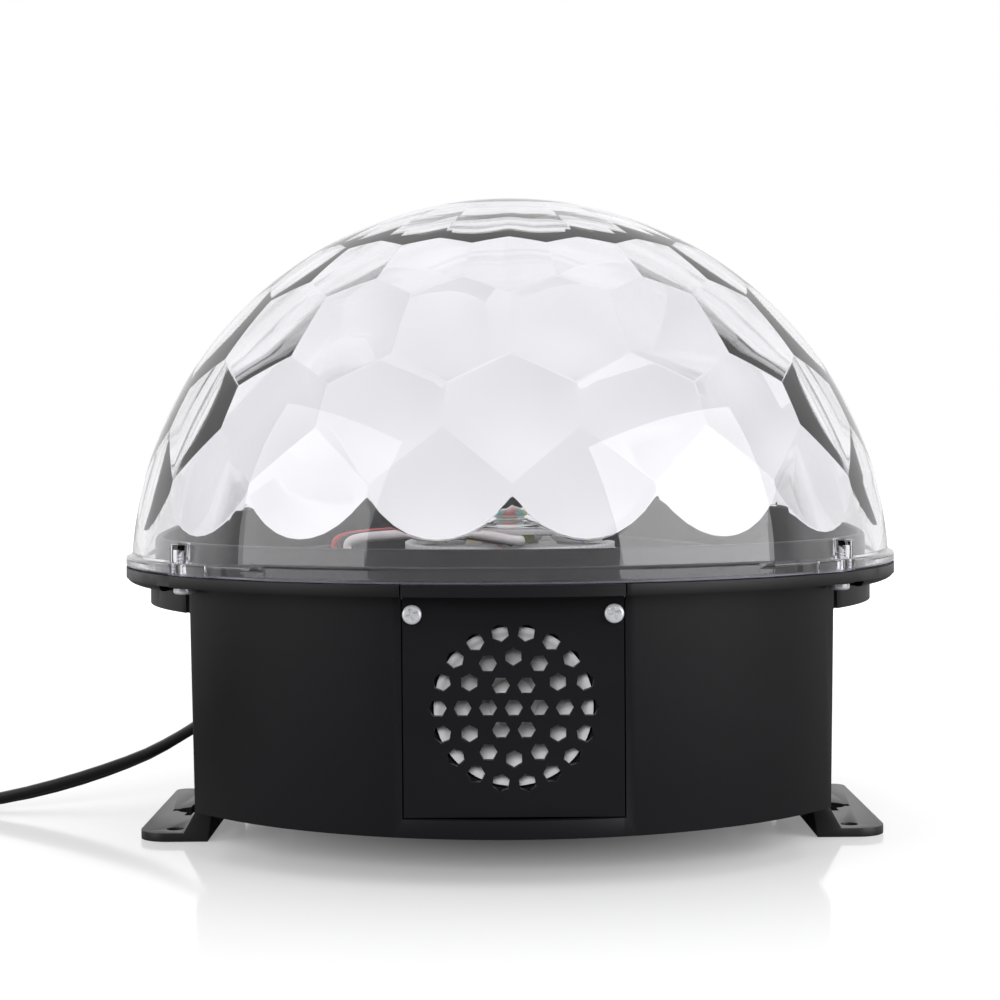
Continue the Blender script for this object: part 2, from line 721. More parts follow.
def insert_openings():
    reach = BAND_RADIUS + OVERRUN
    half = INSERT_HALF + GAP
    under_collar = RIM_BOTTOM + INSERT_SHELF + GAP
    inner_y = INSERT_FACE_Y - INSERT_THICK - BLOCK_DEPTH
    low = INSERT_BOTTOM - GAP
    front = ((-half, -reach, low), (half, -inner_y, under_collar))
    rear = ((-half, inner_y, low), (half, reach, under_collar))
    lower = boxes("insert_opening", [front, rear])
    upper = boxes(
        "insert_lip_opening",
        [((-half, -reach, under_collar - GAP), (half, reach, RIM_TOP + OVERRUN))],
    )
    core = rods(
        "insert_lip_core",
        COLLAR_RADIUS + GAP,
        [((0, 0, BODY_BOTTOM), (0, 0, COLLAR_TOP))],
        sides=ROUND_STEPS,
    )
    return lower, cut(upper, core)


def base_housing():
    cavity_top = DRUM_BOTTOM + WALL
    profile = [
        (0, cavity_top),
        (COLLAR_INNER, cavity_top),
        (COLLAR_INNER, COLLAR_TOP),
        (COLLAR_RADIUS, COLLAR_TOP),
        (COLLAR_RADIUS, RIM_TOP),
        (BAND_RADIUS, RIM_TOP),
        (BAND_RADIUS, RIM_BOTTOM),
        (BODY_RADIUS, RIM_BOTTOM),
        (BODY_RADIUS, BODY_BOTTOM),
        (0, BODY_BOTTOM),
    ]
    body = turned("base_housing", profile, ROUND_STEPS, "black_abs")
    far = BAND_RADIUS + OVERRUN
    low = BODY_BOTTOM - OVERRUN
    for side in (-1, 1):
        rings = []
        for z in (low, DRUM_BOTTOM):
            near = side_x(z)
            rings.append([(side * x, y, z) for x, y, _ in rectangle(near, -far, far, far, z)])
        cut(body, loft("side_cut", rings))
    trim = [
        (RIM_RADIUS + far, RIM_TOP + OVERRUN),
        (RIM_RADIUS + far, RIM_BOTTOM - OVERRUN),
        (RIM_RADIUS, RIM_BOTTOM - OVERRUN),
        (RIM_RADIUS, RIM_TOP + OVERRUN),
    ]
    cut(body, ring_tool("rim_trim", trim, BAND_END_X))
    join(body, ring_tool("bowl", bowl_profile(), BOWL_START_X))
    lower = rods(
        "lower_cavity",
        BODY_RADIUS - WALL,
        [((0, 0, low), (0, 0, cavity_top + OVERRUN))],
        sides=ROUND_STEPS,
    )
    core = []
    for z in (low - OVERRUN, cavity_top + OVERRUN + OVERRUN):
        half = side_x(z) - WALL
        core.append(rectangle(-half, -far, half, far, z))
    keep_inside(lower, loft("lower_cavity_core", core))
    cut(body, lower, *insert_openings())
    posts = bmesh.new()
    pilots = bmesh.new()
    for x, y in corners_of(POST_X, POST_Y):
        add_rod(posts, POST_RADIUS, (x, y, POST_BOTTOM), (x, y, cavity_top))
        add_rod(pilots, SCREW_RADIUS + GAP, (x, y, POST_BOTTOM - OVERRUN), (x, y, cavity_top + OVERRUN))
    join(body, from_bmesh("posts", posts))
    ribs = []
    for x, y in corners_of(POST_X, POST_Y):
        wall_x = math.copysign(SIDE_BOTTOM_X - WALL / 2, x)
        span_x, half = sorted((x, wall_x)), POST_RIB / 2
        ribs.append(((span_x[0], y - half, POST_BOTTOM + GAP), (span_x[1], y + half, cavity_top - GAP)))
    join(body, boxes("post_ribs", ribs))
    blocks = []
    block_y = INSERT_FACE_Y - INSERT_THICK - GAP
    for x, y in corners_of(1, 1):
        span_x = sorted((x * BLOCK_INNER_X, x * BLOCK_OUTER_X))
        span_y = sorted((y * block_y, y * (block_y - BLOCK_DEPTH)))
        low_z, high_z = INSERT_SCREW_Z - BLOCK_HALF_HIGH, INSERT_SCREW_Z + BLOCK_HALF_HIGH
        blocks.append(((span_x[0], span_y[0], low_z), (span_x[1], span_y[1], high_z)))
    join(body, boxes("insert_blocks", blocks))
    for x, y in corners_of(INSERT_SCREW_X, 1):
        add_rod(
            pilots,
            SCREW_RADIUS + GAP,
            (x, y * (INSERT_FACE_Y + OVERRUN), INSERT_SCREW_Z),
            (x, y * (block_y - BLOCK_DEPTH - OVERRUN), INSERT_SCREW_Z),
        )
    for x, y in corners_of(BOSS_X, BOSS_Y):
        add_rod(pilots, DOME_SCREW_RADIUS + GAP, (x, y, RIM_BOTTOM - OVERRUN), (x, y, RIM_TOP + OVERRUN))
    wall_x = side_x(GLAND_Z)
    add_rod(
        pilots,
        GLAND_NECK + GAP,
        (-wall_x - OVERRUN, GLAND_Y, GLAND_Z),
        (-wall_x + WALL + OVERRUN, GLAND_Y, GLAND_Z),
        ROUND_STEPS // 3,
    )
    cut(body, from_bmesh("housing_holes", pilots))
    grooves = []
    corner_y = math.sqrt(BODY_RADIUS**2 - (SIDE_TOP_X + DRUM_GROOVE) ** 2) - DRUM_GROOVE
    for x, y in corners_of(1, 1):
        span_x = sorted((x * (SIDE_TOP_X - SEAM), x * (SIDE_TOP_X + DRUM_GROOVE)))
        span_y = sorted((y * corner_y, y * (BODY_RADIUS + SEAM)))
        top = RIM_BOTTOM - GAP
        grooves.append(((span_x[0], span_y[0], DRUM_BOTTOM - OVERRUN), (span_x[1], span_y[1], top)))
    return close_seams(cut(body, boxes("drum_grooves", grooves)))


def insert_plate(name, side):
    # side is -1 for the front and 1 for the rear
    face, back = side * INSERT_FACE_Y, side * (INSERT_FACE_Y - INSERT_THICK)
    low_y, high_y = sorted((face, back))
    shelf_top = RIM_BOTTOM + INSERT_SHELF
    plate = boxes(
        name,
        [((-INSERT_HALF, low_y, INSERT_BOTTOM), (INSERT_HALF, high_y, shelf_top))],
        "black_abs",
    )
    lip = [
        (BAND_RADIUS, RIM_TOP),
        (BAND_RADIUS, RIM_BOTTOM),
        (COLLAR_INNER - INSERT_THICK, RIM_BOTTOM),
        (COLLAR_INNER - INSERT_THICK, shelf_top),
        (COLLAR_RADIUS + GAP + GAP, shelf_top),
        (COLLAR_RADIUS + GAP + GAP, RIM_TOP),
    ]
    hoop = turned(name + "_lip", lip, ROUND_STEPS, ring=True)
    low_y, high_y = sorted((back, side * (BAND_RADIUS + OVERRUN)))
    keeper = boxes(
        name + "_lip_keeper",
        [((-INSERT_HALF, low_y, RIM_BOTTOM - OVERRUN), (INSERT_HALF, high_y, RIM_TOP + OVERRUN))],
    )
    join(plate, keep_inside(hoop, keeper))
    holes = bmesh.new()
    for x in (-INSERT_SCREW_X, INSERT_SCREW_X):
        start, end = side * (INSERT_FACE_Y + OVERRUN), side * (INSERT_FACE_Y - INSERT_THICK - OVERRUN)
        add_rod(holes, SCREW_RADIUS + GAP, (x, start, INSERT_SCREW_Z), (x, end, INSERT_SCREW_Z))
    return cut(plate, from_bmesh(name + "_screw_holes", holes))


def insert_screws(name, side):
    for label, x in zip(side_names(name, 2), (-INSERT_SCREW_X, INSERT_SCREW_X)):
        seat = (x, side * (INSERT_FACE_Y + GAP), INSERT_SCREW_Z)
        tip = (x, side * (INSERT_FACE_Y - INSERT_THICK - BLOCK_DEPTH), INSERT_SCREW_Z)
        screw(label, seat, tip, INSERT_HEAD_RADIUS, SCREW_HEAD_HIGH, SCREW_RADIUS, "chromed_steel")


# Loudspeaker behind the front insert

def grille_places():
    places = [(0.0, 0.0, 0.0)]
    for count, radius in zip(GRILLE_COUNTS, GRILLE_RADII):
        for x, z in around(count, radius):
            places.append((x, z, math.atan2(z, x)))
    return places


def speaker_panel():
    plate = insert_plate("speaker_panel", -1)
    start, end = -(INSERT_FACE_Y + OVERRUN), -(INSERT_FACE_Y - INSERT_THICK - OVERRUN)
    holes = bmesh.new()
    for x, z, turn in grille_places():
        # each hexagon has a point outwards, and the middle one has a point to either side
        low, high = (x, start, GRILLE_Z + z), (x, end, GRILLE_Z + z)
        add_rod(holes, GRILLE_HEX / 2, low, high, 6, turn=HALF_PI - turn)
    posts = bmesh.new()
    back = INSERT_FACE_Y - INSERT_THICK
    for x, z in around(4, CLAMP_RING, 45):
        far = back - GAP - SPEAKER_FLANGE - GAP
        add_rod(posts, CLAMP_POST, (x, -(back + GAP), GRILLE_Z + z), (x, -far, GRILLE_Z + z))
    join(plate, from_bmesh("clamp_posts", posts))
    return cut(plate, from_bmesh("grille_holes", holes))


def face_the_front(made, depth):
    # Turned pieces are made about +Z, front up, and laid down to face -Y
    made.rotation_euler = (HALF_PI, 0, 0)
    made.location = (0, -(INSERT_FACE_Y - INSERT_THICK - GAP - depth), GRILLE_Z)
    return made


def loudspeaker():
    cone_slope = (CONE_RADIUS - CONE_THROAT) / CONE_DEPTH
    rim_back = SPEAKER_FLANGE + GAP
    wall_start = CONE_RADIUS + GAP
    frame = [
        (SPEAKER_RADIUS, 0),
        (SPEAKER_RADIUS, -SPEAKER_FLANGE),
        (wall_start + BASKET_WALL, -SPEAKER_FLANGE),
        (BASKET_BACK_RADIUS, -BASKET_DEPTH),
        (SHAFT_RADIUS, -BASKET_DEPTH),
        (SHAFT_RADIUS, -BASKET_DEPTH + BASKET_WALL),
        (BASKET_BACK_RADIUS - BASKET_WALL, -BASKET_DEPTH + BASKET_WALL),
        (wall_start, -rim_back),
        (wall_start, 0),
    ]
    face_the_front(turned("speaker_frame", frame, MIDDLE_STEPS, "zinc_steel", ring=True), 0)
    cone = [
        (CONE_RADIUS, -CONE_SET_BACK),
        (CONE_RADIUS, -CONE_SET_BACK - CONE_THICK),
        (CONE_THROAT, -CONE_SET_BACK - CONE_THICK - CONE_DEPTH),
        (CONE_THROAT - CONE_THICK, -CONE_SET_BACK - CONE_DEPTH),
        (CONE_RADIUS - CONE_THICK * cone_slope, -CONE_SET_BACK),
    ]
    face_the_front(turned("speaker_cone", cone, MIDDLE_STEPS, "grey_paper", ring=True), 0)
    seat = (DUST_CAP_RADIUS - CONE_THROAT) / cone_slope
    base = -CONE_SET_BACK - CONE_DEPTH + seat + CONE_THICK
    cap = []
    for k in range(4):
        angle = HALF_PI * k / 3
        cap.append((DUST_CAP_RADIUS * math.sin(angle), base + DUST_CAP_RISE * math.cos(angle)))
    for k in range(3, -1, -1):
        angle = HALF_PI * k / 3
        inner = DUST_CAP_RADIUS - DUST_CAP_THICK
        cap.append((inner * math.sin(angle), base + (DUST_CAP_RISE - DUST_CAP_THICK) * math.cos(angle)))
    face_the_front(turned("speaker_dust_cap", cap, MIDDLE_STEPS, "grey_paper"), 0)
    front = -BASKET_DEPTH - GAP
    magnet = [
        (0, front),
        (MAGNET_RADIUS, front),
        (MAGNET_RADIUS, front - MAGNET_THICK),
        (0, front - MAGNET_THICK),
    ]
    face_the_front(turned("speaker_magnet", magnet, MIDDLE_STEPS, "ferrite"), 0)


# Control insert at the rear

def button_places():
    return [BUTTON_PITCH * (k - 1.5) for k in range(4)]


def centred(at, size, low_y, high_y, grow=0.0):
    (x, z), (wide, high) = at, size
    return (
        (x - wide / 2 - grow, low_y, z - high / 2 - grow),
        (x + wide / 2 + grow, high_y, z + high / 2 + grow),
    )


def rear_panel():
    plate = insert_plate("rear_panel", 1)
    back = INSERT_FACE_Y - INSERT_THICK
    low_y, high_y = back - OVERRUN, INSERT_FACE_Y + OVERRUN
    cut(
        plate,
        boxes(
            "rear_windows",
            [
                centred(USB_AT, USB_SIZE, low_y, high_y, GAP),
                centred(CARD_AT, CARD_SIZE, low_y, high_y, GAP),
                centred((0, ROCKER_Z), ROCKER_BODY, low_y, high_y, GAP),
            ],
        ),
    )
    holes = bmesh.new()
    for x in button_places():
        add_rod(holes, BUTTON_RADIUS + GAP, (x, low_y, BUTTON_Z), (x, high_y, BUTTON_Z), 16)
    x, z = SENSOR_AT
    add_rod(holes, SENSOR_RADIUS + GAP, (x, low_y, z), (x, high_y, z), 16)
    cut(plate, from_bmesh("rear_holes", holes))
    posts, pins = bmesh.new(), bmesh.new()
    board_front = CONTROL_BOARD_Y + BOARD_THICK + GAP
    for x in (-BOARD_POST_X, BOARD_POST_X):
        for z in (BOARD_POST_LOW, BOARD_POST_HIGH):
            add_rod(posts, BOARD_POST_RADIUS, (x, board_front, z), (x, back + GAP, z))
            add_rod(pins, BOARD_PIN, (x, CONTROL_BOARD_Y - BOARD_PIN_PROUD, z), (x, back, z))
    return join(plate, from_bmesh("board_posts", posts), from_bmesh("board_pins", pins))


def control_parts():
    board_back, board_front = CONTROL_BOARD_Y, CONTROL_BOARD_Y + BOARD_THICK
    board = boxes(
        "control_board",
        [
            (
                (-CONTROL_BOARD_HALF, board_back, CONTROL_BOARD_LOW),
                (CONTROL_BOARD_HALF, board_front, CONTROL_BOARD_HIGH),
            )
        ],
        "green_board",
    )
    low_y, high_y = board_back - OVERRUN, board_front + OVERRUN
    windows = boxes(
        "board_windows",
        [centred(USB_AT, USB_SIZE, low_y, high_y, GAP), centred(CARD_AT, CARD_SIZE, low_y, high_y, GAP)],
    )
    holes = bmesh.new()
    for x in (-BOARD_POST_X, BOARD_POST_X):
        for z in (BOARD_POST_LOW, BOARD_POST_HIGH):
            add_rod(holes, BOARD_PIN + GAP, (x, low_y, z), (x, high_y, z))
    cut(board, windows, from_bmesh("board_holes", holes))
    switches = bmesh.new()
    cap_back = INSERT_FACE_Y - INSERT_THICK - GAP - BUTTON_FLANGE_THICK
    plungers = bmesh.new()
    for x in button_places():
        half = SWITCH_SIDE / 2
        start = board_front - GAP
        end = start + SWITCH_HIGH
        add_box(switches, (x - half, start, BUTTON_Z - half), (x + half, end, BUTTON_Z + half))
        add_rod(
            plungers,
            PLUNGER_RADIUS,
            (x, end - GAP, BUTTON_Z),
            (x, cap_back - BUTTON_TRAVEL - GAP, BUTTON_Z),
        )
    join(board, from_bmesh("switches", switches), from_bmesh("plungers", plungers))
    names = ("mode_button", "previous_button", "play_button", "next_button")
    for name, x in zip(names, button_places()):
        proud = INSERT_FACE_Y + BUTTON_PROUD
        cap = [
            (0, proud),
            (BUTTON_RADIUS - HEAD_CROWN, proud),
            (BUTTON_RADIUS, proud - HEAD_CROWN),
            (BUTTON_RADIUS, cap_back + BUTTON_FLANGE_THICK),
            (BUTTON_FLANGE, cap_back + BUTTON_FLANGE_THICK),
            (BUTTON_FLANGE, cap_back),
            (0, cap_back),
        ]
        made = turned(name, cap, 16, "grey_button")
        made.rotation_euler = (-HALF_PI, 0, 0)
        made.location = (x, 0, BUTTON_Z)
    usb_front = INSERT_FACE_Y - USB_SET_BACK
    usb_back = usb_front - USB_DEEP
    socket = boxes("usb_socket", [centred(USB_AT, USB_SIZE, usb_back, usb_front)], "zinc_steel")
    hollow = centred(USB_AT, USB_SIZE, usb_back + USB_WALL, usb_front + OVERRUN, -USB_WALL)
    cut(socket, boxes("usb_hollow", [hollow]))
    x, z = USB_AT
    inner_top = z + USB_SIZE[1] / 2 - USB_WALL
    tongue_half = USB_SIZE[0] / 2 - USB_WALL - USB_TONGUE_SIDE
    tongue = boxes(
        "usb_tongue",
        [
            (
                (x - tongue_half, usb_back + USB_WALL / 2, inner_top - USB_TONGUE - USB_WALL),
                (x + tongue_half, usb_front - USB_WALL, inner_top - USB_WALL),
            )
        ],
    )
    join(socket, tongue)
    card_back = usb_front - CARD_DEEP
    card = boxes("card_socket", [centred(CARD_AT, CARD_SIZE, card_back, usb_front)], "zinc_steel")
    slot = centred(CARD_AT, CARD_SLOT, card_back + OVERRUN, usb_front + OVERRUN)
    cut(card, boxes("card_slot", [slot]))
    inside = INSERT_FACE_Y - INSERT_THICK - GAP
    window = [
        (0, INSERT_FACE_Y + GAP),
        (SENSOR_RADIUS - GAP, INSERT_FACE_Y + GAP),
        (SENSOR_RADIUS, INSERT_FACE_Y),
        (SENSOR_RADIUS, inside),
        (SENSOR_FLANGE, inside),
        (SENSOR_FLANGE, inside - SENSOR_DEEP),
        (0, inside - SENSOR_DEEP),
    ]
    made = turned("sensor_window", window, 16, "smoke_window")
    made.rotation_euler = (-HALF_PI, 0, 0)
    made.location = (SENSOR_AT[0], 0, SENSOR_AT[1])


def power_switch():
    face = INSERT_FACE_Y + GAP
    housing = boxes(
        "rocker_housing",
        [
            centred((0, ROCKER_Z), ROCKER_BEZEL, face, face + ROCKER_BEZEL_THICK),
        ],
        "black_abs",
    )
    body = boxes(
        "rocker_body",
        [centred((0, ROCKER_Z), ROCKER_BODY, face - ROCKER_BODY_DEEP, face + ROCKER_BEZEL_THICK / 2)],
    )
    well = centred((0, ROCKER_Z), ROCKER_WELL, face - ROCKER_WELL_DEEP, face + OVERRUN)
    cut(join(housing, body), boxes("rocker_well", [well]))
    # The rocker's end view: a round underside about the pin, and two slopes that meet over it
    half_long = ROCKER_WELL[0] / 2 - GAP - GAP
    outline = []
    for k in range(9):
        angle = math.pi * k / 8
        outline.append((-ROCKER_SWING * math.cos(angle), -ROCKER_SWING * math.sin(angle)))
    outline.append((half_long - GAP, ROCKER_RISE + half_long * math.sin(ROCKER_ANGLE)))
    outline.append((0, ROCKER_RISE))
    outline.append((-half_long + GAP, ROCKER_RISE + half_long * math.sin(ROCKER_ANGLE)))
    half_wide = ROCKER_WELL[1] / 2 - GAP
    rocker = extruded("power_rocker", outline, -half_wide, half_wide, "black_abs")
    rocker.location = (0, ROCKER_PIVOT_Y, ROCKER_Z)
    rocker.rotation_euler = (0, 0, -ROCKER_ANGLE)


# Dome

def dome_profile():
    outer = []
    lowest = math.asin((FLANGE_TOP - DOME_CENTRE_Z) / DOME_RADIUS)
    for k in range(DOME_ARC_STEPS + 1):
        angle = HALF_PI + (lowest - HALF_PI) * k / DOME_ARC_STEPS
        outer.append((DOME_RADIUS * math.cos(angle), DOME_CENTRE_Z + DOME_RADIUS * math.sin(angle)))
    outer[0] = (0, DOME_CENTRE_Z + DOME_RADIUS)
    bottom = RIM_TOP + GAP
    return outer + [(RIM_RADIUS, FLANGE_TOP), (RIM_RADIUS, bottom), (0, bottom)]


def cavity_profile():
    # Inner sphere, and under it a skirt that spreads less than the sphere would
    points = []
    join_angle = math.asin(SKIRT_TOP_SHARE)
    for k in range(DOME_ARC_STEPS + 1):
        angle = HALF_PI + (join_angle - HALF_PI) * k / DOME_ARC_STEPS
        points.append((DOME_INNER * math.cos(angle), DOME_CENTRE_Z + DOME_INNER * math.sin(angle)))
    points[0] = (0, DOME_CENTRE_Z + DOME_INNER)
    top_radius = points[-1][0]
    bottom = RIM_TOP + GAP
    for k in range(1, SKIRT_STEPS + 1):
        share = k / SKIRT_STEPS
        bow = share * (1 - share) * SKIRT_BOW_SHARE
        points.append((top_radius + SKIRT_SPREAD * (share + bow), SKIRT_TOP + (bottom - SKIRT_TOP) * share))
    points.append((points[-1][0], bottom - OVERRUN))
    points.append((0, bottom - OVERRUN))
    return points


def facet_planes():
    # Middle and outward normal of every flat lens facet
    planes = []
    for (elevation, half_turns), depth_share in zip(FACET_ROWS, FACET_DEPTH_SHARES):
        for k in range(FACETS_AROUND):
            azimuth = math.tau * (k + half_turns / 2) / FACETS_AROUND - HALF_PI
            lift = math.radians(elevation)
            out = Vector(
                (math.cos(lift) * math.cos(azimuth), math.cos(lift) * math.sin(azimuth), math.sin(lift))
            )
            planes.append((out, DOME_INNER * (1 - depth_share)))
    planes.append((Vector((0, 0, 1)), DOME_INNER * (1 - CAP_DEPTH_SHARE)))
    return planes


def crystal_dome():
    dome = turned("crystal_dome", dome_profile(), ROUND_STEPS, "clear_ps")
    bottom = RIM_TOP + GAP
    lip = [
        (LIP_RADIUS, LIP_TOP),
        (LIP_RADIUS, bottom + SEAM),
        (LIP_RADIUS - LIP_DEPTH, bottom + SEAM),
        (LIP_RADIUS - LIP_DEPTH, LIP_TOP),
    ]
    join(dome, ring_tool("dome_lip", lip, 0, LIP_END_X))
    ears = []
    for x, y in corners_of(1, 1):
        span_x = sorted((x * (BOSS_X - EAR_INWARD), x * (BOSS_X + EAR_OUTWARD)))
        span_y = sorted((y * (BOSS_Y - EAR_TOWARDS_MIDDLE), y * EAR_RADIUS))
        ears.append(((span_x[0], span_y[0], bottom + 2 * SEAM), (span_x[1], span_y[1], EAR_TOP)))
    ear_blocks = boxes("dome_ears", ears)
    keeper = rods("ear_keeper", EAR_RADIUS, [((0, 0, 0), (0, 0, BOSS_TOP))], sides=ROUND_STEPS)
    join(dome, keep_inside(ear_blocks, keeper))
    bosses, pilots = bmesh.new(), bmesh.new()
    for x, y in corners_of(BOSS_X, BOSS_Y):
        add_rod(bosses, BOSS_RADIUS, (x, y, bottom + 3 * SEAM), (x, y, BOSS_TOP), 20)
        add_rod(pilots, DOME_SCREW_RADIUS + GAP, (x, y, bottom - OVERRUN), (x, y, DOME_SCREW_TIP + GAP), 12)
    guide = turned("inner_sphere", cavity_profile(), ROUND_STEPS)
    bpy.context.view_layer.update()
    mesh = bpy.data.meshes.new_from_object(guide.evaluated_get(bpy.context.evaluated_depsgraph_get()))
    bpy.data.objects.remove(guide)
    bm = bmesh.new()
    bm.from_mesh(mesh)
    bpy.data.meshes.remove(mesh)
    bmesh.ops.remove_doubles(bm, verts=bm.verts, dist=MERGE)
    centre = Vector((0, 0, DOME_CENTRE_Z))
    for out, distance in facet_planes():
        found = bmesh.ops.bisect_plane(
            bm,
            geom=bm.verts[:] + bm.edges[:] + bm.faces[:],
            dist=MERGE / 10,
            plane_co=centre + out * distance,
            plane_no=out,
            clear_outer=True,
        )
        edges = [e for e in found["geom_cut"] if isinstance(e, bmesh.types.BMEdge)]
        bmesh.ops.contextual_create(bm, geom=edges)
    # The bosses stand out from the skirt's inside, so they join after the cavity is cut
    join(cut(dome, from_bmesh("dome_cavity", bm)), from_bmesh("dome_bosses", bosses))
    return close_seams(cut(dome, from_bmesh("dome_pilots", pilots)))


def dome_screws():
    for label, (x, y) in zip(side_names("dome_screw", 4), corners_of(BOSS_X, BOSS_Y)):
        seat, tip = (x, y, RIM_BOTTOM - GAP), (x, y, DOME_SCREW_TIP)
        screw(label, seat, tip, DOME_SCREW_HEAD, DOME_SCREW_HEAD_HIGH, DOME_SCREW_RADIUS, "chromed_steel")


# Deck, motor and turning head

def deck_plate():
    top = DECK_BOTTOM + DECK_THICK
    ends = [((0, 0, DECK_BOTTOM), (0, 0, top))]
    deck = rods("deck_plate", COLLAR_INNER - GAP, ends, "black_abs", sides=ROUND_STEPS)
    reach = BAND_RADIUS
    keep_inside(
        deck,
        boxes("deck_flats", [((-reach, -DECK_FLAT_Y, BODY_BOTTOM), (reach, DECK_FLAT_Y, COLLAR_TOP))]),
    )
    low, high = DECK_BOTTOM - OVERRUN, top + OVERRUN
    holes = bmesh.new()
    add_rod(holes, DECK_HOLE, (0, 0, low), (0, 0, high), MIDDLE_STEPS)
    for x, y in [(-POST_X, -POST_Y), (POST_X, POST_Y), (-LUG_X, 0), (LUG_X, 0)]:
        add_rod(holes, SCREW_RADIUS + GAP, (x, y, low), (x, y, high))
    cut(deck, from_bmesh("deck_holes", holes))
    ends = [((0, -STOP_RADIUS, DECK_BOTTOM + GAP), (0, -STOP_RADIUS, STOP_TOP))]
    join(deck, rods("stop_post", STOP_POST, ends))
    seat = top + GAP
    for label, (x, y) in zip(side_names("deck_screw", 2), ((-POST_X, -POST_Y), (POST_X, POST_Y))):
        screw(label, (x, y, seat), (x, y, seat - SCREW_LONG), SCREW_HEAD, SCREW_HEAD_HIGH, SCREW_RADIUS)


def motor():
    lug_top = DECK_BOTTOM - GAP
    can_top = lug_top - LUG_THICK
    can = [
        (0, SHAFT_BOTTOM - GAP),
        (SHAFT_RADIUS + GAP, SHAFT_BOTTOM - GAP),
        (SHAFT_RADIUS + GAP, can_top),
        (CAN_RADIUS, can_top),
        (CAN_RADIUS, CAN_BOTTOM),
        (0, CAN_BOTTOM),
    ]
    body = turned("motor_can", can, MIDDLE_STEPS, "zinc_steel")
    half = LUG_WIDE / 2
    outline = []
    for side in (1, -1):
        for k in range(9):
            angle = -HALF_PI + math.pi * k / 8
            outline.append((side * (LUG_X + half * math.cos(angle)), side * half * math.sin(angle)))
    lugs = extruded("motor_lugs", outline, can_top - GAP, lug_top)
    low, high = can_top - OVERRUN, lug_top + OVERRUN
    cut(lugs, rods("lug_centre", LUG_HOLE, [((0, 0, low), (0, 0, high))]))
    ends = [((x, 0, low), (x, 0, high)) for x in (-LUG_X, LUG_X)]
    close_seams(cut(join(body, lugs), rods("lug_ends", SCREW_RADIUS + GAP, ends)))
    seat = DECK_BOTTOM + DECK_THICK + GAP
    for label, x in zip(side_names("motor_screw", 2), (-LUG_X, LUG_X)):
        screw(label, (x, 0, seat), (x, 0, seat - SCREW_LONG), SCREW_HEAD, SCREW_HEAD_HIGH, SCREW_RADIUS)
    rods("motor_shaft", SHAFT_RADIUS, [((0, 0, SHAFT_BOTTOM), (0, 0, SHAFT_TOP))], "zinc_steel", sides=24)


def clip_holes(name, low, high):
    # Holes for the holder's three pins
    ends = [((x, y, low - OVERRUN), (x, y, high + OVERRUN)) for x, y in around(CLIP_COUNT, CLIP_RING, 90)]
    return rods(name, CLIP_PIN + GAP, ends, sides=12)


def turntable():
    top = TABLE_BOTTOM + TABLE_THICK
    bore = SHAFT_RADIUS + GAP
    rim_inner = TABLE_RADIUS - TABLE_RIM_WIDE
    profile = [
        (TABLE_RADIUS, top + TABLE_RIM_HIGH),
        (TABLE_RADIUS, TABLE_BOTTOM),
        (HUB_RADIUS, TABLE_BOTTOM),
        (HUB_RADIUS, HUB_BOTTOM),
        (bore, HUB_BOTTOM),
        (bore, top),
        (rim_inner, top),
        (rim_inner, top + TABLE_RIM_HIGH),
    ]
    table = turned("turntable", profile, PLATE_STEPS, "black_abs", ring=True)
    tab = boxes(
        "stop_tab",
        [((-STOP_TAB_HALF, rim_inner, TABLE_BOTTOM + GAP), (STOP_TAB_HALF, STOP_TAB_REACH, top + GAP))],
    )
    cut(join(table, tab), clip_holes("table_holes", TABLE_BOTTOM, top))


